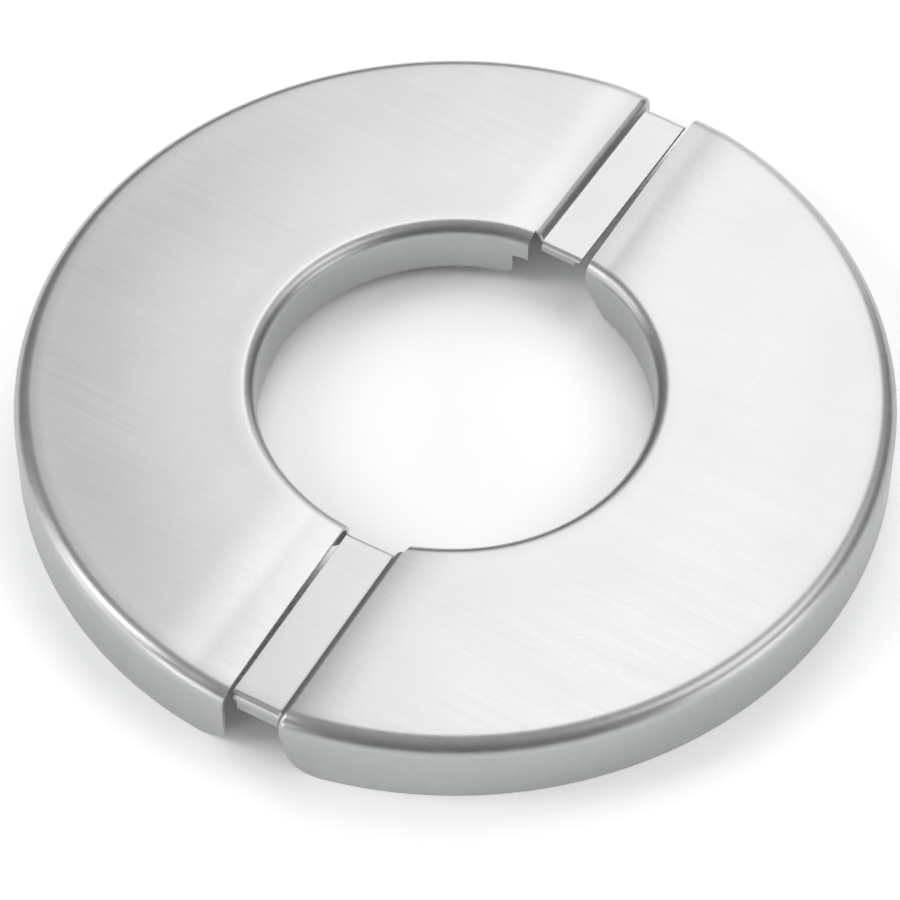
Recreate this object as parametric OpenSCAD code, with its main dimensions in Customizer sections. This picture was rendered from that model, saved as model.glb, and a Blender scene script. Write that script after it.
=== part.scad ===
// Split wall flange for a pipe.
// Two pressed sheet halves close round a pipe where it meets a wall and hide
// the rough hole. Each half is one sheet bent into an open channel: a rim wall
// outside, a flat face, and a lower wall round the pipe. One end of each half
// has a straight edge. The other end steps down into a tongue, which slides
// under the straight edge of the other half.
// Sizes are in millimetres. The room wall is the plane z = 0, the pipe runs
// along Z, and the halves part along X.

/* [Flange] */
// Outside diameter of the rim
rim_d = 108; // [100:1:130]
// Diameter of the hole for the pipe
hole_d = 49; // [42:0.5:56]
// Height of the face above the room wall
face_h = 9.7; // [9:0.1:13]
// Thickness of the sheet
sheet_t = 0.5; // [0.4:0.05:0.6]
// Gap under the wall that stands round the pipe
hole_wall_lift = 2.2; // [0.5:0.1:3]
// Radius outside the bend between face and rim wall
rim_bend_r = 2.2; // [1.6:0.1:3]
// Radius outside the bend between face and hole wall
hole_bend_r = 1.8; // [1.2:0.1:2.4]

/* [Straight edges] */
// Distance from the pipe's axis back to the left half's straight edge
left_edge_back = 0.1; // [0:0.1:2]
// Distance from the pipe's axis back to the right half's straight edge
right_edge_back = 4.7; // [4:0.1:6]
// Angle of the left half's straight edge out of square
left_edge_skew = -1.1; // [-1.5:0.1:1.5]
// Angle of the right half's straight edge out of square
right_edge_skew = 0; // [-1.5:0.1:1.5]
// Length of the rounded lower corner of the rim wall
edge_corner_l = 3.8; // [2.5:0.1:4.5]
// Height of that lower corner
edge_corner_h = 1.9; // [1:0.1:2.5]
// Radius of that lower corner
edge_corner_r = 5; // [5:0.1:9]
// Length of the slanted end of the hole wall
slant_l = 3.4; // [2:0.1:5]
// Height of the slanted end of the hole wall
slant_h = 4.6; // [3:0.1:5]
// Radius of the slanted end of the hole wall
slant_r = 7.5; // [5:0.1:12]

/* [Steps] */
// Distance that a half's step stands behind its straight edge
step_back = 2.55; // [2.2:0.05:3]
// Angle of the left half's step and tongue out of square
left_step_skew = 1.2; // [-1.5:0.1:1.5]
// Angle of the right half's step and tongue out of square
right_step_skew = -0.6; // [-1.5:0.1:1.5]
// Air between a tongue and the face that it slides under
step_clear = 0.9; // [0.5:0.1:1.2]
// Radius inside the two bends of the step
step_bend_r = 0.2; // [0.1:0.05:0.3]
// Steepness of the step
step_angle = 80; // [60:1:85]
// Length and height of the rounded lower corner of the rim wall beside the step
step_corner = 4.2; // [3:0.1:4.5]
// Radius of that lower corner
step_corner_r = 4.6; // [4.6:0.1:8]
// Length of the lug where the hole wall is cut away beside the step
lug_l = 2; // [1:0.1:3]
// Height of the underside of that lug above the room wall
lug_z = 5.6; // [4.5:0.1:6.5]
// Length and height of the hole wall's lower corner beside the lug
lug_corner = 0.7; // [0.3:0.1:0.9]
// Radius of that lower corner
lug_corner_r = 1; // [1:0.1:2]

/* [Tongues] */
// Gap between the left tongue's tip and the right half's edge
left_tip_gap = 1.1; // [0.3:0.1:2]
// Gap between the right tongue's tip and the left half's edge
right_tip_gap = 0.3; // [0.3:0.1:2]
// Air beside a tongue when it is pushed home
side_clear = 0.3; // [0.2:0.05:0.6]
// Depth of the tongue's lip beside the rim
rim_lip_h = 2.4; // [1.5:0.1:3.5]
// Depth of the tongue's lip beside the hole
hole_lip_h = 1.3; // [1:0.1:2]
// Radius outside the bend of the lip beside the rim
rim_lip_r = 1; // [0.7:0.1:1.4]
// Radius outside the bend of the lip beside the hole
hole_lip_r = 0.7; // [0.65:0.05:0.95]
// Length cut off the tongue's two corners, seen from above
tip_corner = 0.5; // [0.2:0.1:0.6]
// Gap between straight edge and step when the halves are pushed home
home_gap = 0.8; // [0.7:0.1:1.5]

/* [Hidden] */
// Cut that runs past a surface, so that no skin is left
past = 1;
// Faces of a full circle
smooth = 144;
// Points on each bend of the step
bend_points = 8;

rim_r = rim_d / 2;
hole_r = hole_d / 2;
// Middle of the face, where a skewed edge turns
mid_r = (rim_r + hole_r) / 2;
// Half of a square that holds the whole flange
far = rim_r + 10;

// The step's middle line bends once down and once level again.
step_drop = sheet_t + step_clear;
step_mid_r = step_bend_r + sheet_t / 2;
step_slope_l = (step_drop - 2 * step_mid_r * (1 - cos(step_angle))) / sin(step_angle);
step_run = 2 * step_mid_r * sin(step_angle) + step_slope_l * cos(step_angle);

// Where each half's edge, step and tongue tip lie on its own side of the axis
left_edge_x = -left_edge_back;
left_step_x = left_edge_x - step_back;
left_tip_x = right_edge_back - left_tip_gap;
right_edge_x = -right_edge_back;
right_step_x = right_edge_x - step_back;
right_tip_x = left_edge_back - right_tip_gap;

// How far the right half moves from rest until it is pushed home
push_in = left_edge_back + right_edge_back + step_back - home_gap;
// The tongues stay clear of both walls of the other half over that travel.
tongue_reach = max(left_tip_x, right_tip_x) + push_in;
tongue_z = face_h - step_drop;
tongue_in = hole_r + sheet_t + side_clear;
tongue_out = sqrt(pow(rim_r - sheet_t, 2) - pow(tongue_reach, 2)) - side_clear;

// Solid profile with its two top corners rounded
module round_top(low, high, base, top, low_r, high_r) {
    translate([low, base]) square([low_r, top - low_r - base]);
    translate([low + low_r, base]) square([high - low - low_r - high_r, top - base]);
    translate([high - high_r, base]) square([high_r, top - high_r - base]);
    translate([low + low_r, top - low_r]) circle(low_r, $fn = smooth);
    translate([high - high_r, top - high_r]) circle(high_r, $fn = smooth);
}

// Profile of a sheet bent down along both sides to the heights low_z and high_z
module bent_sheet(low, high, top, low_r, high_r, low_z, high_z) {
    difference() {
        round_top(low, high, 0, top, low_r, high_r);
        round_top(low + sheet_t, high - sheet_t, -past, top - sheet_t,
                  low_r - sheet_t, high_r - sheet_t);
        translate([low - past, -past]) square([sheet_t + 2 * past, low_z + past]);
        translate([high - sheet_t - past, -past]) square([sheet_t + 2 * past, high_z + past]);
    }
}

// The whole channel, before it is parted
module ring() {
    rotate_extrude($fn = 2 * smooth)
        bent_sheet(hole_r, rim_r, face_h, hole_bend_r, rim_bend_r, hole_wall_lift, 0);
}

// Plan of what one half keeps of the ring, on the negative side of X
module half_plan(edge_x, edge_skew, end_x, step_skew) {
    function edge_at(y) = edge_x + tan(edge_skew) * (y + mid_r);
    function end_at(y) = end_x + tan(step_skew) * (y - mid_r);
    polygon([[-far, -far], [edge_at(-far), -far], [edge_at(0), 0],
             [end_at(0), 0], [end_at(far), far], [-far, far]]);
}

// Local frame of an end: origin on the mid radius, material towards -X
module at_end(x, y, skew) {
    translate([x, y, 0]) rotate([0, 0, -skew]) children();
}

// Cutter that takes the lower corner off a wall which ends at x = 0
// It is length long, height high and curved with the radius r.
module corner_cutter(length, height, r, low_y, high_y) {
    chord = sqrt(length * length + height * height);
    rise = sqrt(r * r - chord * chord / 4);
    centre = [length / 2 + height / chord * rise, height / 2 + length / chord * rise];
    translate([0, high_y, 0]) rotate([90, 0, 0]) mirror([1, 0, 0])
        linear_extrude(high_y - low_y) difference() {
            translate([-past, -past]) square([centre[0] + past, centre[1] + past]);
            translate(centre) circle(r, $fn = smooth);
        }
}

// Cuts at the end with the straight edge
module edge_trims(edge_x, edge_skew) {
    at_end(edge_x, -mid_r, edge_skew) {
        corner_cutter(edge_corner_l, edge_corner_h, edge_corner_r,
                      mid_r - far, mid_r - rim_r + rim_bend_r);
        translate([0, 0, hole_wall_lift])
            corner_cutter(slant_l, slant_h, slant_r,
                          mid_r - hole_r - hole_bend_r, mid_r);
    }
}

// Cuts at the end with the step
module step_trims(step_x, step_skew) {
    wall_in = -mid_r;
    wall_out = hole_r + hole_bend_r - mid_r;
    at_end(step_x, mid_r, step_skew) {
        translate([-step_run / 2, 0, 0])
            corner_cutter(step_corner, step_corner, step_corner_r,
                          rim_r - rim_bend_r - mid_r, far - mid_r);
        translate([-step_run / 2 - lug_l, wall_in, -past])
            cube([lug_l + step_run, wall_out - wall_in, lug_z + past]);
        translate([-step_run / 2 - lug_l, 0, hole_wall_lift])
            corner_cutter(lug_corner, lug_corner, lug_corner_r, wall_in, wall_out);
    }
}

// Side view of the step: two bends with a straight slope between them
module step_profile() {
    function down(a) = [-step_run / 2 + step_mid_r * sin(a),
                        face_h - sheet_t / 2 - step_mid_r * (1 - cos(a))];
    function up(a) = [step_run / 2 - step_mid_r * sin(a),
                      tongue_z - sheet_t / 2 + step_mid_r * (1 - cos(a))];
    function side(a, s) = s * sheet_t / 2 * [sin(a), cos(a)];
    angles = [for (i = [0 : bend_points]) i * step_angle / bend_points];
    back = [for (i = [bend_points : -1 : 0]) angles[i]];
    polygon(concat([for (a = angles) down(a) + side(a, 1)],
                   [for (a = back) up(a) + side(a, 1)],
                   [for (a = angles) up(a) + side(a, -1)],
                   [for (a = back) down(a) + side(a, -1)]));
}

// Step across the face; above the rim lip only its upper half is left
module step_web(step_x, step_skew) {
    web_in = hole_r + hole_bend_r - mid_r;
    web_out = tongue_out - rim_lip_r - mid_r;
    out_y = tongue_out - mid_r;
    intersection() {
        rotate_extrude($fn = 2 * smooth)
            round_top(hole_r, rim_r, 0, face_h, hole_bend_r, rim_bend_r);
        at_end(step_x, mid_r, step_skew) difference() {
            translate([0, out_y, 0]) rotate([90, 0, 0])
                linear_extrude(out_y - web_in) step_profile();
            translate([0, web_out, 0]) cube([far, far, far]);
        }
    }
}

// Tongue: a flat strip with a lip down each side; its tip lies at tip_x
module tongue(step_x, step_skew, tip_x) {
    in_y = tongue_in - mid_r;
    out_y = tongue_out - mid_r;
    length = tip_x - step_x;
    at_end(step_x, mid_r, step_skew) intersection() {
        translate([-step_run, 0, 0]) rotate([90, 0, 90]) linear_extrude(length + 2 * step_run)
            bent_sheet(in_y, out_y, tongue_z, hole_lip_r, rim_lip_r,
                       tongue_z - hole_lip_h, tongue_z - rim_lip_h);
        linear_extrude(face_h) tongue_plan(in_y, out_y, length);
    }
}

// Plan of the tongue: corners cut off at the tip, and a rim lip that runs on
// past the step to the end of the rim
module tongue_plan(in_y, out_y, length) {
    start = step_run / 2;
    polygon([[start, in_y], [length - tip_corner, in_y], [length, in_y + tip_corner],
             [length, out_y - tip_corner], [length - tip_corner, out_y],
             [-start, out_y], [-start, out_y - rim_lip_r], [start, out_y - rim_lip_r]]);
}

// One pressed half, on the negative side of X with its tongue at +Y
module pressed_half(edge_x, edge_skew, step_x, step_skew, tip_x) {
    difference() {
        intersection() {
            ring();
            translate([0, 0, -past]) linear_extrude(face_h + 2 * past)
                half_plan(edge_x, edge_skew, step_x - step_run / 2, step_skew);
        }
        edge_trims(edge_x, edge_skew);
        step_trims(step_x, step_skew);
    }
    step_web(step_x, step_skew);
    tongue(step_x, step_skew, tip_x);
}

module left_half() {
    color("silver")
        pressed_half(left_edge_x, left_edge_skew, left_step_x, left_step_skew, left_tip_x);
}

module right_half() {
    color("gainsboro")
        rotate([0, 0, 180])
            pressed_half(right_edge_x, right_edge_skew, right_step_x, right_step_skew,
                         right_tip_x);
}

left_half();
right_half();
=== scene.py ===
# %% [markdown]
# # A split wall flange in brushed steel
# The flange covers the rough hole where a pipe enters a wall. It is two
# pressed sheet halves that slide together round the pipe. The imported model
# gives the frame: the outside size, the bodies and the joint. Everything below
# is laid out from that frame, in metres.

# %% Load the frame
import math

import bpy
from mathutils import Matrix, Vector


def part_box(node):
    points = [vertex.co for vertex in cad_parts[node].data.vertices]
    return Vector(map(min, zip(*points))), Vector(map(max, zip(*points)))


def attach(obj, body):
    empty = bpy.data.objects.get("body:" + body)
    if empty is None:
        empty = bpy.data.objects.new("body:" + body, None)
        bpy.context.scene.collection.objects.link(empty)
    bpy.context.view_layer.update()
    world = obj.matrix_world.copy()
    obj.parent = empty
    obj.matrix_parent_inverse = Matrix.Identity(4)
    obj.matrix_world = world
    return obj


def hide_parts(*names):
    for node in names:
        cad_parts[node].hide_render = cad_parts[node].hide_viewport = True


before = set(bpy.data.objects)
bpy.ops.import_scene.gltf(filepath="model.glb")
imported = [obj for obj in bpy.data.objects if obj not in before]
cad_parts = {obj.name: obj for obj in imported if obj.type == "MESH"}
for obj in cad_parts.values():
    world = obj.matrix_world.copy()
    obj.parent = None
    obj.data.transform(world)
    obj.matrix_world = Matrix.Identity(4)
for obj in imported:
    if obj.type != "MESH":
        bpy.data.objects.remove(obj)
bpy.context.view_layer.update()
MM = 0.001
NODES = ("left_half", "right_half")
solid_tops = [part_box(node)[1][2] for node in NODES]
solid_sides = [abs(value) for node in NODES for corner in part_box(node) for value in corner[:2]]
print("rim radius", round(max(solid_sides) / MM, 2), "mm, height", round(max(solid_tops) / MM, 2), "mm")

# %% [markdown]
# ## The sizes of the pressing
# A press tool is described by a few sizes: how wide the rim and the hole are,
# how high the face stands, how thick the sheet is and how sharply it bends.
# The rim and the height come from the frame, so that the dressed part can't
# drift from it. All of these sizes are of the outside of the sheet.

# %% Sizes that both halves share
SHEET = 0.5 * MM
PRESS = {
    "Rim radius": max(solid_sides),
    "Hole radius": 24.5 * MM,
    "Face height": max(solid_tops),
    "Hole wall lift": 2.2 * MM,
    "Rim bend": 2.2 * MM,
    "Hole bend": 1.8 * MM,
    "Tongue top": 8.3 * MM,
    "Tongue inside": 25.3 * MM,
    "Tongue outside": 52.2 * MM,
    "Hole lip depth": 1.3 * MM,
    "Rim lip depth": 2.4 * MM,
    "Hole lip bend": 0.7 * MM,
    "Rim lip bend": 1.0 * MM,
    "Step bend above": 0.95 * MM,
    "Step bend below": 0.2 * MM,
    "Step angle": math.radians(68),
    "Crown": 0.12 * MM,
    "Roll-down": 0.26 * MM,
    "Roll-down length": 6.0 * MM,
    "Unevenness": 0.05 * MM,
    "Torn edge": 0.14 * MM,
}
QUARTER = math.pi / 2
mid_radius = (PRESS["Rim radius"] + PRESS["Hole radius"]) / 2
step_drop = PRESS["Face height"] - PRESS["Tongue top"]
print("face", round(PRESS["Face height"] / MM, 2), "mm high, step", round(step_drop / MM, 2), "mm deep")

# %% [markdown]
# ## What differs between the halves
# The two pressings come from the same tool, but the photograph shows them cut
# at slightly different places and a degree or so out of square. Each half is
# described on its own side of the pipe, with its tongue at the far end, and the
# right half is then turned half round.

# %% Sizes of each half
HALVES = {
    "left_half": {"edge": -0.1 * MM, "edge_skew": -1.1, "step": -2.65 * MM,
                  "step_skew": 1.2, "tip": 3.6 * MM, "turn": 0.0, "seed": 3.0},
    "right_half": {"edge": -4.7 * MM, "edge_skew": 0.0, "step": -7.25 * MM,
                   "step_skew": -0.6, "tip": -0.2 * MM, "turn": math.pi, "seed": 11.0},
}
BODY = {"left_half": "left_body", "right_half": "right_body"}


def bent_lengths(parts):
    """Running total along the sheet at the end of each straight or bent part."""
    total, stops = 0.0, []
    for part in parts:
        total += part
        stops.append(total)
    return stops


ring_stops = bent_lengths([
    PRESS["Face height"] - PRESS["Hole bend"] - PRESS["Hole wall lift"],
    QUARTER * PRESS["Hole bend"],
    PRESS["Rim radius"] - PRESS["Rim bend"] - PRESS["Hole radius"] - PRESS["Hole bend"],
    QUARTER * PRESS["Rim bend"],
    PRESS["Face height"] - PRESS["Rim bend"],
])
tongue_stops = bent_lengths([
    PRESS["Hole lip depth"] - PRESS["Hole lip bend"],
    QUARTER * PRESS["Hole lip bend"],
    PRESS["Tongue outside"] - PRESS["Rim lip bend"] - PRESS["Tongue inside"] - PRESS["Hole lip bend"],
    QUARTER * PRESS["Rim lip bend"],
    PRESS["Rim lip depth"] - PRESS["Rim lip bend"],
])
step_slope = (step_drop - (PRESS["Step bend above"] + PRESS["Step bend below"])
              * (1 - math.cos(PRESS["Step angle"]))) / math.sin(PRESS["Step angle"])
step_stops = bent_lengths([
    PRESS["Step bend above"] * PRESS["Step angle"],
    step_slope,
    PRESS["Step bend below"] * PRESS["Step angle"],
])
step_run = ((PRESS["Step bend above"] + PRESS["Step bend below"]) * math.sin(PRESS["Step angle"])
            + step_slope * math.cos(PRESS["Step angle"]))
print("sheet across the ring", round(ring_stops[-1] / MM, 1), "mm, across the tongue",
      round(tongue_stops[-1] / MM, 1), "mm, step run", round(step_run / MM, 2), "mm")

# %% [markdown]
# ## The flat blank
# A pressing starts as a flat blank, cut to the outline that the finished edges
# need. The blank here is a grid of quads too: its rows run along the sheet and
# its columns across it. Each point carries its place on the flat sheet as
# attributes, and no final position yet. That keeps the cutting apart from the
# bending, as in the workshop.

# %% Outline of the cut ends
def round_corner(depth, length, height, radius):
    """How far a wall's end is cut back at this depth above its lower edge."""
    if depth >= height:
        return 0.0
    chord = math.hypot(length, height)
    rise = math.sqrt(radius * radius - chord * chord / 4)
    centre_x = length / 2 + height / chord * rise
    centre_z = height / 2 + length / chord * rise
    return centre_x - math.sqrt(radius * radius - (depth - centre_z) ** 2)


SLANT = (3.4 * MM, 4.6 * MM, 7.5 * MM)
EDGE_CORNER = (3.8 * MM, 1.9 * MM, 5.0 * MM)
STEP_CORNER = (4.2 * MM, 4.2 * MM, 4.6 * MM)
LUG_CORNER = (0.7 * MM, 0.7 * MM, 1.0 * MM)
LUG_LENGTH = 2.0 * MM
LUG_UNDERSIDE = 5.6 * MM - PRESS["Hole wall lift"]
TIP_CORNER = 0.75 * MM


def tip_cut(across):
    """How far the tongue's tip is rounded back at this place across it."""
    flat_in = tongue_stops[0]
    flat_out = tongue_stops[3]
    reach = max(flat_in + TIP_CORNER - across, across - flat_out + TIP_CORNER, 0.0)
    return TIP_CORNER - math.sqrt(TIP_CORNER ** 2 - min(reach, TIP_CORNER) ** 2)


# %% Rows of the blank, from the hole wall's lower edge to the rim's
def steps(start, end, count):
    return [start + (end - start) * i / count for i in range(count + 1)]


FACE_ROWS, BEND_ROWS = 18, 10
hole_wall = [v * MM for v in (0, 0.08, 0.2, 0.35, 0.5, 0.7, 1.1, 1.6, 2.2, 2.8)]
hole_wall += [LUG_UNDERSIDE, 4.0 * MM, SLANT[1], 5.1 * MM]
hole_rows = [("ring", s, 0.0) for s in hole_wall + steps(*ring_stops[0:2], BEND_ROWS)[:-1]]
shared_rows = [("both", s, t) for s, t in zip(
    steps(*ring_stops[1:3], FACE_ROWS) + steps(*ring_stops[2:4], BEND_ROWS)[1:],
    steps(*tongue_stops[1:3], FACE_ROWS) + steps(*tongue_stops[2:4], BEND_ROWS)[1:])]
lip_wall = tongue_stops[4] - tongue_stops[3]
lip_level = PRESS["Tongue top"] - PRESS["Rim lip depth"]
wall_to_lip = ring_stops[4] - lip_level - ring_stops[3]
shared_rows += [("both", ring_stops[3] + wall_to_lip * k / 2, tongue_stops[3] + lip_wall * k / 2)
                for k in (1, 2)]
rim_heights = [v * MM for v in (4.9, 4.2, 3.6, 3.0, 2.4, 1.9, 1.45, 1.05, 0.7, 0.42, 0.2, 0.07, 0)]
rim_rows = [("ring", ring_stops[4] - z, 0.0) for z in rim_heights]
lip_rows = [("lip", ring_stops[1], t) for t in
            steps(0, tongue_stops[0], 2)[:-1] + steps(*tongue_stops[0:2], 6)[:-1]]
print(len(hole_rows), "rows in the hole wall,", len(shared_rows), "that run on into the tongue,",
      len(rim_rows), "in the rim")

# %% Columns of the blank, from the straight edge to the tongue's tip
ROUND_COLUMNS = 170
main_columns = [(k / ROUND_COLUMNS, LUG_LENGTH, 0.0) for k in range(ROUND_COLUMNS + 1)]
end_columns = [(1.0, behind * MM, 0.0) for behind in (1.5, 1.0, 0.6, 0.3, 0)]
step_columns = [(1.0, 0.0, o) for o in
                steps(0, step_stops[0], 7)[1:] + steps(*step_stops[0:2], 2)[1:]
                + steps(*step_stops[1:3], 4)[1:]]
TONGUE_COLUMNS = [0.04, 0.1, 0.2, 0.35, 0.5, 0.65, 0.8, 0.9, 0.96, 1.0]


def cut_back(row, height_from_hole, height_from_rim):
    """Cut back of the straight edge and of the step's end, for one row."""
    if row[0] == "ring" and row[1] < ring_stops[1]:
        return (round_corner(height_from_hole, *SLANT), round_corner(height_from_hole, *LUG_CORNER))
    return (round_corner(height_from_rim, *EDGE_CORNER), round_corner(height_from_rim, *STEP_CORNER))


# %% Cut the blank
PLACES = ("across", "lip_across", "along", "edge_back", "step_back", "out")


def cut_blank(name, half):
    """Flat grid with the outline of the half; its points carry their flat places."""
    tongue_length = half["tip"] - half["step"] - step_run / 2
    places, points, faces = [], {}, []

    def point(row, column):
        key = (row, column)
        if key not in points:
            kind, s, t = row
            along, behind, out = column
            edge_cut, step_cut = cut_back(row, s, ring_stops[4] - s)
            if out > step_stops[2]:
                share = (out - step_stops[2]) / tongue_length
                out -= share * tip_cut(t)
            points[key] = len(places)
            places.append((s, t, along, edge_cut, behind + step_cut, out))
        return points[key]

    def patch(rows, columns):
        for row, next_row in zip(rows, rows[1:]):
            for column, next_column in zip(columns, columns[1:]):
                faces.append((point(row, column), point(row, next_column),
                              point(next_row, next_column), point(next_row, column)))

    ring_columns = main_columns + end_columns
    tongue_columns = [(1.0, 0.0, step_stops[2] + tongue_length * share)
                      for share in [0.0] + TONGUE_COLUMNS]
    tongue_columns[0] = step_columns[-1]
    below_lug = [row for row in hole_rows if row[1] <= LUG_UNDERSIDE]
    above_lug = hole_rows[len(below_lug) - 1:] + shared_rows[:1]
    patch(below_lug, main_columns)
    patch(above_lug, ring_columns)
    patch(shared_rows, ring_columns + step_columns + tongue_columns[1:])
    patch(shared_rows[-1:] + rim_rows, ring_columns)
    patch(lip_rows + shared_rows[:1], tongue_columns)

    flat = [(s[2] * math.pi * mid_radius - s[4] + s[5], max(s[0], ring_stops[1]), 0) for s in places]
    mesh = bpy.data.meshes.new(name)
    mesh.from_pydata(flat, [], faces)
    for index, place in enumerate(PLACES):
        values = mesh.attributes.new(place, "FLOAT", "POINT")
        values.data.foreach_set("value", [p[index] for p in places])
    blank = bpy.data.objects.new(name, mesh)
    bpy.context.scene.collection.objects.link(blank)
    print(name, "blank:", len(places), "points,", len(faces), "quads")
    return blank


# %% [markdown]
# ## The press tool
# The bending follows a rule, so a node tree does it: it reads the flat places
# and moves each point to where the press would push it. A bend is a clamp: the
# part of the flat length that lies in the bend becomes an angle, and its sine
# and cosine give the place. To keep the rule readable, a small helper class
# lets the nodes be written as sums and products.

# %% Numbers inside a node tree
class Field:
    """A number that varies over the mesh; arithmetic on it adds Math nodes."""

    tree = None

    def __init__(self, socket):
        self.socket = socket

    @classmethod
    def node(cls, operation, *values):
        node = cls.tree.nodes.new("ShaderNodeMath")
        node.operation = operation
        for index, value in enumerate(values):
            if isinstance(value, Field):
                cls.tree.links.new(value.socket, node.inputs[index])
            else:
                node.inputs[index].default_value = value
        return Field(node.outputs[0])

    def __add__(self, other):
        return Field.node("ADD", self, other)

    def __sub__(self, other):
        return Field.node("SUBTRACT", self, other)

    def __rsub__(self, other):
        return Field.node("SUBTRACT", other, self)

    def __mul__(self, other):
        return Field.node("MULTIPLY", self, other)

    def __truediv__(self, other):
        return Field.node("DIVIDE", self, other)

    def __neg__(self):
        return Field.node("MULTIPLY", self, -1.0)

    __radd__ = __add__
    __rmul__ = __mul__


def sine(value):
    return Field.node("SINE", value)


def cosine(value):
    return Field.node("COSINE", value)


def between(value, low, high):
    return Field.node("MINIMUM", Field.node("MAXIMUM", value, low), high)


def above_zero(value):
    return Field.node("MAXIMUM", value, 0.0)


def blend(first, second, share):
    return first + (second - first) * share


# %% Rules of the bends
def channel(across, outer, inner, inner_bend, outer_bend, wall, face, top):
    """Distance from the pipe and height of a sheet bent down along both sides."""
    bend_in = wall + QUARTER * inner_bend
    bend_out = bend_in + face
    turn_in = between((across - wall) / inner_bend, 0.0, QUARTER)
    turn_out = between((across - bend_out) / outer_bend, 0.0, QUARTER)
    below_bend = above_zero(across - bend_out - QUARTER * outer_bend)
    distance = (inner + inner_bend * (1.0 - cosine(turn_in))
                + between(across - bend_in, 0.0, face) + outer_bend * sine(turn_out))
    height = (top - inner_bend * (1.0 - sine(turn_in)) - above_zero(wall - across)
              - outer_bend * (1.0 - cosine(turn_out)) - below_bend)
    return distance, height


def end_angle(distance, line, skew, back):
    """Angle round the pipe at which a circle meets a straight end, from +Y."""
    return Field.node("ARCSINE", (back - line) / distance), skew


def noise(place, scale, seed, detail=1.0):
    node = Field.tree.nodes.new("ShaderNodeTexNoise")
    node.noise_dimensions = "4D"
    Field.tree.links.new(place, node.inputs["Vector"])
    Field.tree.links.new(seed.socket, node.inputs["W"])
    node.inputs["Scale"].default_value = scale
    node.inputs["Detail"].default_value = detail
    return Field(node.outputs["Fac"]) - 0.5


def vector_of(x, y, z):
    node = Field.tree.nodes.new("ShaderNodeCombineXYZ")
    for socket, value in zip(node.inputs, (x, y, z)):
        if isinstance(value, Field):
            Field.tree.links.new(value.socket, socket)
        else:
            socket.default_value = value
    return node.outputs[0]


# %% Build the press tree
OWN_INPUTS = ("Edge line", "Edge skew", "Step line", "Step skew", "Step place", "Turn", "Seed")


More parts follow.
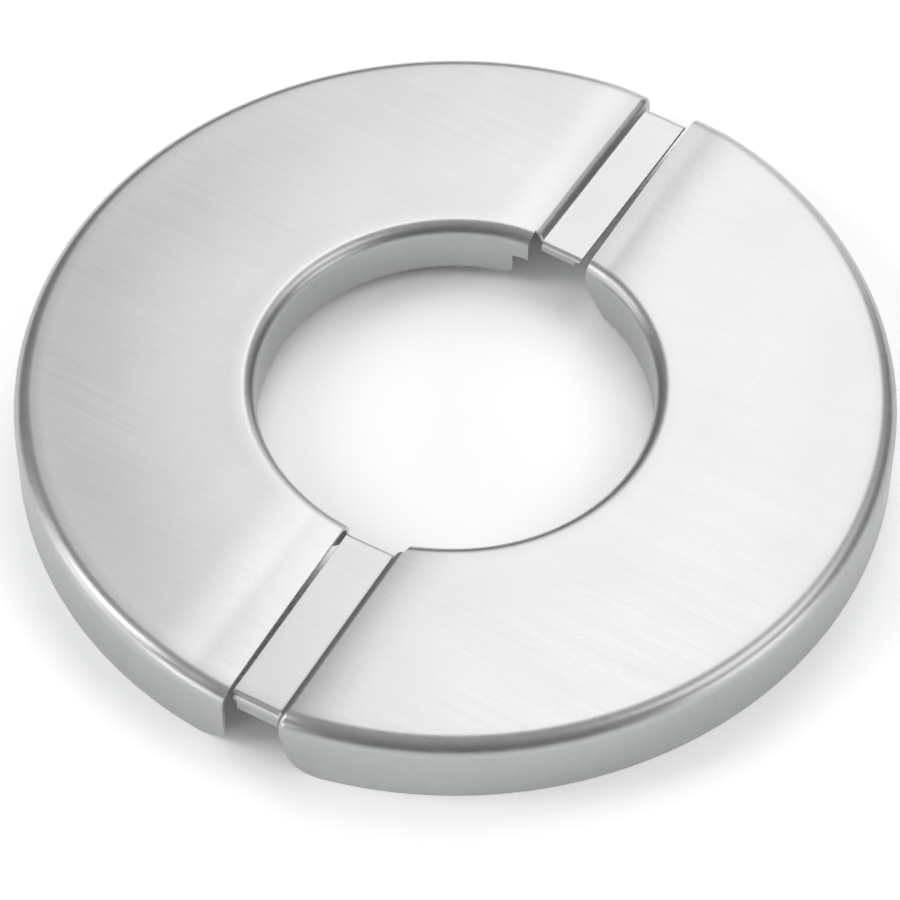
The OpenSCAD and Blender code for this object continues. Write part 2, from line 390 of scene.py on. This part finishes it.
def build_press():
    """Node tree that bends a flat blank into a half of the flange."""
    tree = bpy.data.node_groups.new("Press tool", "GeometryNodeTree")
    tree.interface.new_socket("Geometry", in_out="INPUT", socket_type="NodeSocketGeometry")
    for name in list(PRESS) + list(OWN_INPUTS):
        tree.interface.new_socket(name, in_out="INPUT", socket_type="NodeSocketFloat")
    tree.interface.new_socket("Finish", in_out="INPUT", socket_type="NodeSocketMaterial")
    tree.interface.new_socket("Geometry", in_out="OUTPUT", socket_type="NodeSocketGeometry")
    Field.tree = tree
    group_in = tree.nodes.new("NodeGroupInput")
    size = {name: Field(group_in.outputs[name]) for name in list(PRESS) + list(OWN_INPUTS)}

    flat = {}
    for place in PLACES:
        reader = tree.nodes.new("GeometryNodeInputNamedAttribute")
        reader.data_type = "FLOAT"
        reader.inputs["Name"].default_value = place
        flat[place] = Field(reader.outputs["Attribute"])

    # the ring's channel and the tongue's, each bent from its own flat place
    ring_wall = size["Face height"] - size["Hole bend"] - size["Hole wall lift"]
    ring_face = size["Rim radius"] - size["Rim bend"] - size["Hole radius"] - size["Hole bend"]
    distance, ring_z = channel(flat["across"], size["Rim radius"], size["Hole radius"],
                               size["Hole bend"], size["Rim bend"], ring_wall, ring_face,
                               size["Face height"])
    lip_wall_in = size["Hole lip depth"] - size["Hole lip bend"]
    tongue_face = (size["Tongue outside"] - size["Rim lip bend"]
                   - size["Tongue inside"] - size["Hole lip bend"])
    tongue_y, tongue_z = channel(flat["lip_across"], size["Tongue outside"], size["Tongue inside"],
                                 size["Hole lip bend"], size["Rim lip bend"], lip_wall_in,
                                 tongue_face, size["Tongue top"])

    # the step: down round one bend, along a slope, and level round the other
    above, below, lean = size["Step bend above"], size["Step bend below"], size["Step angle"]
    drop_all = size["Face height"] - size["Tongue top"]
    slope_all = (drop_all - (above + below) * (1.0 - cosine(lean))) / sine(lean)
    run_all = (above + below) * sine(lean) + slope_all * cosine(lean)
    out = flat["out"]
    turn_down = between(out / above, 0.0, lean)
    slope = between(out - above * lean, 0.0, slope_all)
    turn_up = between((out - above * lean - slope_all) / below, 0.0, lean)
    past_step = above_zero(out - (above + below) * lean - slope_all)
    run = (above * sine(turn_down) + slope * cosine(lean)
           + below * (sine(lean) - sine(lean - turn_up)) + past_step)
    drop = (above * (1.0 - cosine(turn_down)) + slope * sine(lean)
            + below * (cosine(lean - turn_up) - cosine(lean)))
    stepped = drop / drop_all

    # where a circle of the ring meets the two straight ends
    step_back = run_all * 0.5 + flat["step_back"] - run
    step_angle = Field.node("ARCSINE", (step_back - size["Step line"]) / distance) - size["Step skew"]
    edge_angle = (math.pi - Field.node("ARCSINE", (flat["edge_back"] - size["Edge line"]) / distance)
                  - size["Edge skew"])
    angle = blend(edge_angle, step_angle, flat["along"])
    ring_x = -(distance * sine(angle))
    ring_y = distance * cosine(angle)

    # the face is crowned a little and rolls down towards both ends
    to_edge = size["Edge line"] - ring_x * cosine(size["Edge skew"]) + ring_y * sine(size["Edge skew"])
    to_step = (size["Step line"] - run_all * 0.5
               - ring_x * cosine(size["Step skew"]) + ring_y * sine(size["Step skew"]))
    roll = size["Roll-down"] * 0.0
    for gap in (to_edge, to_step):
        near = between(1.0 - gap / size["Roll-down length"], 0.0, 1.0)
        roll = roll + size["Roll-down"] * near * near
    from_middle = (distance - (size["Rim radius"] + size["Hole radius"]) * 0.5) / (ring_face * 0.5)
    dome = above_zero(1.0 - from_middle * from_middle)
    seed = size["Seed"]
    place = vector_of(ring_x, ring_y, ring_z)
    uneven = noise(place, 45.0, seed) * size["Unevenness"]
    near_torn = between(1.0 - flat["across"] / (1.0 * MM), 0.0, 1.0)
    torn = noise(place, 900.0, seed, 2.0) * size["Torn edge"] * near_torn * near_torn
    lift = size["Crown"] * dome * dome - roll + uneven
    ring_z = ring_z + lift * ring_z / size["Face height"] + torn

    # the tongue runs straight out from the step
    middle = (size["Rim radius"] + size["Hole radius"]) * 0.5
    ahead = run - run_all * 0.5
    sideways = tongue_y - middle
    tongue_x = size["Step place"] + ahead * cosine(size["Step skew"]) + sideways * sine(size["Step skew"])
    tongue_y = middle - ahead * sine(size["Step skew"]) + sideways * cosine(size["Step skew"])

    x = blend(ring_x, tongue_x, stepped)
    y = blend(ring_y, tongue_y, stepped)
    z = blend(ring_z, tongue_z, stepped)
    turn = size["Turn"]
    final = vector_of(x * cosine(turn) - y * sine(turn), x * sine(turn) + y * cosine(turn), z)

    set_position = tree.nodes.new("GeometryNodeSetPosition")
    tree.links.new(group_in.outputs["Geometry"], set_position.inputs["Geometry"])
    tree.links.new(final, set_position.inputs["Position"])
    shade_smooth = tree.nodes.new("GeometryNodeSetShadeSmooth")
    realize = tree.nodes.new("GeometryNodeRealizeInstances")
    set_material = tree.nodes.new("GeometryNodeSetMaterial")
    tree.links.new(group_in.outputs["Finish"], set_material.inputs["Material"])
    group_out = tree.nodes.new("NodeGroupOutput")
    chain = [set_position, shade_smooth, realize, set_material, group_out]
    for node, next_node in zip(chain, chain[1:]):
        tree.links.new(node.outputs["Geometry"], next_node.inputs["Geometry"])
    for index, node in enumerate(tree.nodes):
        node.location = (index // 12 * 180, -(index % 12) * 180)
    print("press tool:", len(tree.nodes), "nodes,", len(size), "named sizes")
    return tree


press_tool = build_press()

# %% [markdown]
# ## Effects for the steel
# Two effects are shared by the materials, so each is a node group. Brush lines
# are noise drawn out along X, the way in which an abrasive belt ran over the
# flat sheet before it was cut. The level mask tells the flat face, which was
# brushed, from the bends and walls, which get a rougher finish and a darker
# colour; the darker colour is painted shade for the dim floor that they mirror.

# %% Brush lines
def new_group(name, inputs, outputs):
    group = bpy.data.node_groups.new(name, "ShaderNodeTree")
    for label, kind, value in inputs:
        socket = group.interface.new_socket(label, in_out="INPUT", socket_type=kind)
        socket.default_value = value
    for label, kind in outputs:
        group.interface.new_socket(label, in_out="OUTPUT", socket_type=kind)
    return group, group.nodes.new("NodeGroupInput"), group.nodes.new("NodeGroupOutput")


def add(tree, kind, settings=(), **values):
    """New node, its settings set by name and its inputs linked or filled."""
    node = tree.nodes.new(kind)
    for attribute, value in dict(settings).items():
        setattr(node, attribute, value)
    for key, value in values.items():
        socket = node.inputs[int(key[1:])] if key[0] == "i" and key[1:].isdigit() else node.inputs[key]
        if isinstance(value, bpy.types.NodeSocket):
            tree.links.new(value, socket)
        else:
            socket.default_value = value
    return node


def build_brush_lines():
    """Streaks along X: a height for fine scratches and a soft shade."""
    group, given, result = new_group(
        "Brush lines",
        [("Line width", "NodeSocketFloat", 0.14 * MM), ("Line length", "NodeSocketFloat", 14 * MM),
         ("Seed", "NodeSocketFloat", 0.0)],
        [("Height", "NodeSocketFloat"), ("Shade", "NodeSocketFloat"), ("Scratches", "NodeSocketFloat")])
    place = add(group, "ShaderNodeTexCoord").outputs["Object"]
    across = add(group, "ShaderNodeMath", {"operation": "DIVIDE"}, i0=1.0, i1=given.outputs["Line width"])
    along = add(group, "ShaderNodeMath", {"operation": "DIVIDE"}, i0=1.0, i1=given.outputs["Line length"])
    stretch = add(group, "ShaderNodeCombineXYZ", X=along.outputs[0], Y=across.outputs[0],
                  Z=across.outputs[0])
    drawn = add(group, "ShaderNodeVectorMath", {"operation": "MULTIPLY"}, i0=place,
                i1=stretch.outputs[0])

    def streaks(scale, detail, roughness):
        spread = add(group, "ShaderNodeTexNoise", {"noise_dimensions": "4D"},
                     Vector=drawn.outputs[0], W=given.outputs["Seed"], Scale=scale, Detail=detail,
                     Roughness=roughness)
        return spread.outputs["Fac"]

    fine = streaks(1.0, 2.0, 0.7)
    broad = streaks(0.22, 2.0, 0.6)
    rare = streaks(0.55, 1.0, 0.5)
    scratch = add(group, "ShaderNodeMapRange", {"clamp": True}, Value=rare)
    scratch.inputs["From Min"].default_value = 0.66
    scratch.inputs["From Max"].default_value = 0.74
    shade = add(group, "ShaderNodeMath", {"operation": "ADD"}, i0=fine, i1=broad)
    shade_half = add(group, "ShaderNodeMath", {"operation": "MULTIPLY"}, i0=shade.outputs[0], i1=0.5)
    group.links.new(fine, result.inputs["Height"])
    group.links.new(shade_half.outputs[0], result.inputs["Shade"])
    group.links.new(scratch.outputs[0], result.inputs["Scratches"])
    return group


brush_lines = build_brush_lines()
print("effect:", brush_lines.name)

# %% Level mask
def build_level_mask():
    """1 on the level face and the tongue, 0 on walls; its edge can be set."""
    group, given, result = new_group(
        "Level mask",
        [("Fades from", "NodeSocketFloat", 0.55), ("Full at", "NodeSocketFloat", 0.98)],
        [("Level", "NodeSocketFloat")])
    normal = add(group, "ShaderNodeNewGeometry").outputs["Normal"]
    up = add(group, "ShaderNodeSeparateXYZ", Vector=normal)
    level = add(group, "ShaderNodeMapRange", {"interpolation_type": "SMOOTHSTEP", "clamp": True},
                Value=up.outputs["Z"])
    group.links.new(given.outputs["Fades from"], level.inputs["From Min"])
    group.links.new(given.outputs["Full at"], level.inputs["From Max"])
    group.links.new(level.outputs[0], result.inputs["Level"])
    return group


level_mask = build_level_mask()
print("effect:", level_mask.name)

# %% Blotches
def build_blotches():
    """Soft cloudy patches, as rolled sheet has after it is wiped and pressed."""
    group, given, result = new_group(
        "Blotches", [("Size", "NodeSocketFloat", 18 * MM), ("Seed", "NodeSocketFloat", 0.0)],
        [("Patch", "NodeSocketFloat")])
    place = add(group, "ShaderNodeTexCoord").outputs["Object"]
    scale = add(group, "ShaderNodeMath", {"operation": "DIVIDE"}, i0=1.0, i1=given.outputs["Size"])
    cloud = add(group, "ShaderNodeTexNoise", {"noise_dimensions": "4D"}, Vector=place,
                W=given.outputs["Seed"], Scale=scale.outputs[0], Detail=3.0, Roughness=0.55)
    group.links.new(cloud.outputs["Fac"], result.inputs["Patch"])
    return group


blotches = build_blotches()
print("effect:", blotches.name)

# %% [markdown]
# ## The two finishes
# The brushed sheet is metal with a satin roughness. Its colour wavers a little
# with the brush lines and the blotches, and is darker on the walls and bends,
# which is painted shade for the dim floor that they mirror. The
# sheared edge is where the sheet was cut: bare, bright and rough metal, with
# lines that run through the sheet's thickness.

# %% Brushed sheet
STEEL = (0.74, 0.735, 0.745, 1.0)
# Darker colour of the walls and bends: painted shade for the dim floor they mirror.
SHADED_WALL_STEEL = (0.47, 0.48, 0.48, 1.0)


def place_group(tree, group, **values):
    node = tree.nodes.new("ShaderNodeGroup")
    node.node_tree = group
    for label, value in values.items():
        node.inputs[label.replace("_", " ")].default_value = value
    return node


def mix_colour(tree, share, first, second, how="MIX"):
    node = add(tree, "ShaderNodeMix", {"data_type": "RGBA", "blend_type": how})
    for socket, value in ((node.inputs[0], share), (node.inputs[6], first), (node.inputs[7], second)):
        if isinstance(value, bpy.types.NodeSocket):
            tree.links.new(value, socket)
        else:
            socket.default_value = value
    return node.outputs[2]


def remap(tree, value, low, high, to_low, to_high):
    node = add(tree, "ShaderNodeMapRange", {"clamp": True}, Value=value)
    for label, number in (("From Min", low), ("From Max", high), ("To Min", to_low), ("To Max", to_high)):
        node.inputs[label].default_value = number
    return node.outputs[0]


def build_brushed_sheet():
    material = bpy.data.materials.new("brushed_sheet_steel")
    material.use_nodes = True
    tree = material.node_tree
    shader = tree.nodes["Principled BSDF"]
    shader.inputs["Metallic"].default_value = 1.0
    lines = place_group(tree, brush_lines)
    level = place_group(tree, level_mask)
    patch = place_group(tree, blotches)
    # painted shade: the walls and bends take the darker colour, the level face the bright one
    painted_wall_shade = mix_colour(tree, level.outputs["Level"], SHADED_WALL_STEEL, STEEL)
    streak = remap(tree, lines.outputs["Shade"], 0.35, 0.65, 0.93, 1.05)
    cloudy = remap(tree, patch.outputs["Patch"], 0.3, 0.7, 0.965, 1.03)
    tone = add(tree, "ShaderNodeMath", {"operation": "MULTIPLY"}, i0=streak, i1=cloudy)
    grey = add(tree, "ShaderNodeCombineColor")
    for socket in grey.inputs[:3]:
        tree.links.new(tone.outputs[0], socket)
    colour = mix_colour(tree, 1.0, painted_wall_shade, grey.outputs[0], "MULTIPLY")
    tree.links.new(colour, shader.inputs["Base Color"])
    satin = remap(tree, lines.outputs["Shade"], 0.3, 0.7, 0.27, 0.37)
    walls = remap(tree, level.outputs["Level"], 0.0, 1.0, 0.06, 0.0)
    rough = add(tree, "ShaderNodeMath", {"operation": "ADD"}, i0=satin, i1=walls)
    tree.links.new(rough.outputs[0], shader.inputs["Roughness"])
    bump = add(tree, "ShaderNodeBump", Height=lines.outputs["Height"], Strength=0.22,
               Distance=0.02 * MM)
    tree.links.new(bump.outputs["Normal"], shader.inputs["Normal"])
    return material


brushed_sheet = build_brushed_sheet()
print("finish:", brushed_sheet.name)

# %% Sheared edge
def build_sheared_edge():
    material = bpy.data.materials.new("sheared_edge_steel")
    material.use_nodes = True
    tree = material.node_tree
    shader = tree.nodes["Principled BSDF"]
    shader.inputs["Metallic"].default_value = 1.0
    patch = place_group(tree, blotches, Size=0.5 * MM, Seed=4.0)
    tone = remap(tree, patch.outputs["Patch"], 0.3, 0.7, 0.0, 1.0)
    colour = mix_colour(tree, tone, (0.60, 0.60, 0.61, 1.0), (0.84, 0.84, 0.85, 1.0))
    tree.links.new(colour, shader.inputs["Base Color"])
    tree.links.new(remap(tree, patch.outputs["Patch"], 0.3, 0.7, 0.3, 0.5), shader.inputs["Roughness"])
    bump = add(tree, "ShaderNodeBump", Height=patch.outputs["Patch"], Strength=0.3, Distance=0.03 * MM)
    tree.links.new(bump.outputs["Normal"], shader.inputs["Normal"])
    return material


sheared_edge = build_sheared_edge()
print("finish:", sheared_edge.name)

# %% [markdown]
# ## Press the halves
# The press tree bends the blank. A Solidify modifier then gives the sheet its
# thickness on the inside, and a Bevel takes the sharpness off the cut edges,
# which is what makes them catch the light. The result becomes a plain mesh.

# %% Press one half
EDGE_BREAK = 0.07 * MM


def press_half(name, half):
    blank = cut_blank(name + "_blank", half)
    edge_skew, step_skew = (math.radians(half[k]) for k in ("edge_skew", "step_skew"))
    own = {
        "Edge line": half["edge"] * math.cos(edge_skew) + mid_radius * math.sin(edge_skew),
        "Edge skew": edge_skew,
        "Step line": half["step"] * math.cos(step_skew) - mid_radius * math.sin(step_skew),
        "Step skew": step_skew,
        "Step place": half["step"],
        "Turn": half["turn"],
        "Seed": half["seed"],
    }
    press = blank.modifiers.new("Press", "NODES")
    press.node_group = press_tool
    for item in press_tool.interface.items_tree:
        if item.in_out == "INPUT" and item.name in PRESS:
            press[item.identifier] = PRESS[item.name]
        elif item.in_out == "INPUT" and item.name in own:
            press[item.identifier] = own[item.name]
        elif item.name == "Finish":
            press[item.identifier] = brushed_sheet
    wall = blank.modifiers.new("Sheet thickness", "SOLIDIFY")
    wall.thickness = SHEET
    wall.offset = -1.0
    wall.use_even_offset = True
    wall.material_offset_rim = 1
    edge = blank.modifiers.new("Broken edges", "BEVEL")
    edge.width = EDGE_BREAK
    edge.segments = 2
    edge.limit_method = "ANGLE"
    edge.angle_limit = math.radians(50)
    edge.harden_normals = True
    blank.data.materials.append(brushed_sheet)
    blank.data.materials.append(sheared_edge)

    evaluated = blank.evaluated_get(bpy.context.evaluated_depsgraph_get())
    mesh = bpy.data.meshes.new_from_object(evaluated)
    mesh.name = name + "_sheet"
    piece = bpy.data.objects.new(name + "_sheet", mesh)
    bpy.context.scene.collection.objects.link(piece)
    bpy.data.objects.remove(blank)
    for place in PLACES:
        if place in mesh.attributes:
            mesh.attributes.remove(mesh.attributes[place])
    lows = [min(v.co[axis] for v in mesh.vertices) / MM for axis in range(3)]
    highs = [max(v.co[axis] for v in mesh.vertices) / MM for axis in range(3)]
    print(name, len(mesh.polygons), "faces,", [round(v, 2) for v in lows], [round(v, 2) for v in highs])
    return piece


for name, half in HALVES.items():
    sheet = press_half(name, half)
    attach(sheet, BODY[name])
    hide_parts(name)

# %% [markdown]
# ## The ground
# The flange lies on a pale ground. A plain sheet of geometry is enough, far
# wider than the view, so that its edge never shows.

# %% Ground
def build_ground():
    material = bpy.data.materials.new("pale_ground")
    material.use_nodes = True
    tree = material.node_tree
    tree.nodes.clear()
    out = tree.nodes.new("ShaderNodeOutputMaterial")
    path = add(tree, "ShaderNodeLightPath")
    seen = add(tree, "ShaderNodeMath", {"operation": "MAXIMUM"}, i0=path.outputs["Is Camera Ray"],
               i1=path.outputs["Is Glossy Ray"])
    seen = add(tree, "ShaderNodeMath", {"operation": "MAXIMUM"}, i0=seen.outputs[0],
               i1=path.outputs["Is Transmission Ray"])
    colour = mix_colour(tree, seen.outputs[0], GROUND, GROUND_SEEN)
    shader = add(tree, "ShaderNodeBsdfDiffuse", Color=colour)
    tree.links.new(shader.outputs[0], out.inputs["Surface"])
    half_width = 2.5
    mesh = bpy.data.meshes.new("ground")
    mesh.from_pydata([(-half_width, -half_width, 0), (half_width, -half_width, 0),
                      (half_width, half_width, 0), (-half_width, half_width, 0)], [], [(0, 1, 2, 3)])
    ground = bpy.data.objects.new("ground", mesh)
    ground.data.materials.append(material)
    bpy.context.scene.collection.objects.link(ground)
    return ground


GROUND = (0.90, 0.905, 0.90, 1.0)
GROUND_SEEN = (1.90, 1.905, 1.90, 1.0)
ground = build_ground()
print("ground laid at height 0")

# %% [markdown]
# ## Camera
# The photograph was taken from above and a little to the right of the joint.
# The camera's place was worked out from the ellipses of the rim and the hole.
# It is a long lens, so the shape hardly narrows with distance.

# %% Camera
VIEW_AZIMUTH = math.radians(30.37)
VIEW_ELEVATION = math.radians(52.28)
VIEW_DISTANCE = 0.5571
FOCAL_PIXELS = 4500.0
PICTURE = 900.0
CENTRE_PIXEL = (455.38, 429.23)

camera_data = bpy.data.cameras.new("camera")
camera_data.sensor_width = 36.0
camera_data.lens = FOCAL_PIXELS / PICTURE * camera_data.sensor_width
camera_data.shift_x = (PICTURE / 2 - CENTRE_PIXEL[0]) / PICTURE
camera_data.shift_y = (CENTRE_PIXEL[1] - PICTURE / 2) / PICTURE
camera_data.clip_start = 0.01
camera = bpy.data.objects.new("camera", camera_data)
bpy.context.scene.collection.objects.link(camera)
back = Vector((math.sin(VIEW_AZIMUTH) * math.cos(VIEW_ELEVATION),
               -math.cos(VIEW_AZIMUTH) * math.cos(VIEW_ELEVATION),
               math.sin(VIEW_ELEVATION)))
camera.location = back * VIEW_DISTANCE
camera.rotation_euler = back.to_track_quat("Z", "Y").to_euler()
bpy.context.scene.camera = camera
print("camera at", [round(v, 3) for v in camera.location])

# %% [markdown]
# ## Light
# Brushed metal shows what stands round it, so the lamps are placed by what
# each part of the flange should mirror. The face mirrors the panels behind it,
# which fade towards the left. The rim's near left bend mirrors the panels on
# the left, and the near right bend mirrors the dim side behind the camera.

# %% Lamps
def direction(azimuth, elevation):
    """Unit vector away from the flange; azimuth 0 is towards -Y."""
    azimuth, elevation = math.radians(azimuth), math.radians(elevation)
    return Vector((math.sin(azimuth) * math.cos(elevation),
                   -math.cos(azimuth) * math.cos(elevation), math.sin(elevation)))


def soft_panel(name, azimuth, elevation, distance, width, height, brightness):
    """Area lamp that faces the flange; brightness is what a mirror would show."""
    lamp = bpy.data.lights.new(name, "AREA")
    lamp.shape = "RECTANGLE"
    lamp.size = width
    lamp.size_y = height
    lamp.energy = brightness * math.pi * width * height
    holder = bpy.data.objects.new(name, lamp)
    bpy.context.scene.collection.objects.link(holder)
    away = direction(azimuth, elevation)
    holder.location = away * distance
    holder.rotation_euler = away.to_track_quat("Z", "Y").to_euler()
    return holder


# Name, azimuth, elevation, distance, width, height and brightness of each lamp.
PANELS = (
    ("back panel", 190, 50, 0.6, 0.18, 0.50, 0.94),
    ("back panel's soft side", 206, 50, 0.6, 0.14, 0.50, 0.76),
    ("back panel's far side", 222, 50, 0.6, 0.14, 0.50, 0.55),
    ("low back panel", 185, 15, 0.7, 0.40, 0.25, 0.68),
    ("left panel", -58, 40, 0.7, 0.25, 0.30, 2.5),
    ("low left panel", -58, 12, 0.7, 0.30, 0.22, 2.2),
    ("right panel", 105, 48, 0.7, 0.40, 0.30, 1.14),
    ("low right panel", 95, 10, 0.7, 0.40, 0.25, 2.43),
    ("right back panel", 140, 50, 0.7, 0.30, 0.40, 0.31),
    ("low front panel", -25, 12, 0.8, 0.30, 0.20, 4.6),
)
for panel in PANELS:
    soft_panel(*panel)

# %% Surroundings
OVERHEAD = (0.315, 0.315, 0.318, 1.0)
LOW_DOWN = (0.102, 0.102, 0.104, 1.0)


def build_surroundings():
    """Dim studio walls that grow paler towards the ceiling."""
    world = bpy.data.worlds.new("studio")
    bpy.context.scene.world = world
    world.use_nodes = True
    tree = world.node_tree
    tree.nodes.clear()
    out = tree.nodes.new("ShaderNodeOutputWorld")
    shader = tree.nodes.new("ShaderNodeBackground")
    towards = add(tree, "ShaderNodeTexCoord").outputs["Generated"]
    height = add(tree, "ShaderNodeSeparateXYZ", Vector=towards).outputs["Z"]
    share = remap(tree, height, 0.0, 1.0, 0.0, 1.0)
    colour = mix_colour(tree, share, LOW_DOWN, OVERHEAD)
    tree.links.new(colour, shader.inputs["Color"])
    tree.links.new(shader.outputs[0], out.inputs["Surface"])
    return world


build_surroundings()
bpy.context.scene.view_settings.view_transform = "Standard"
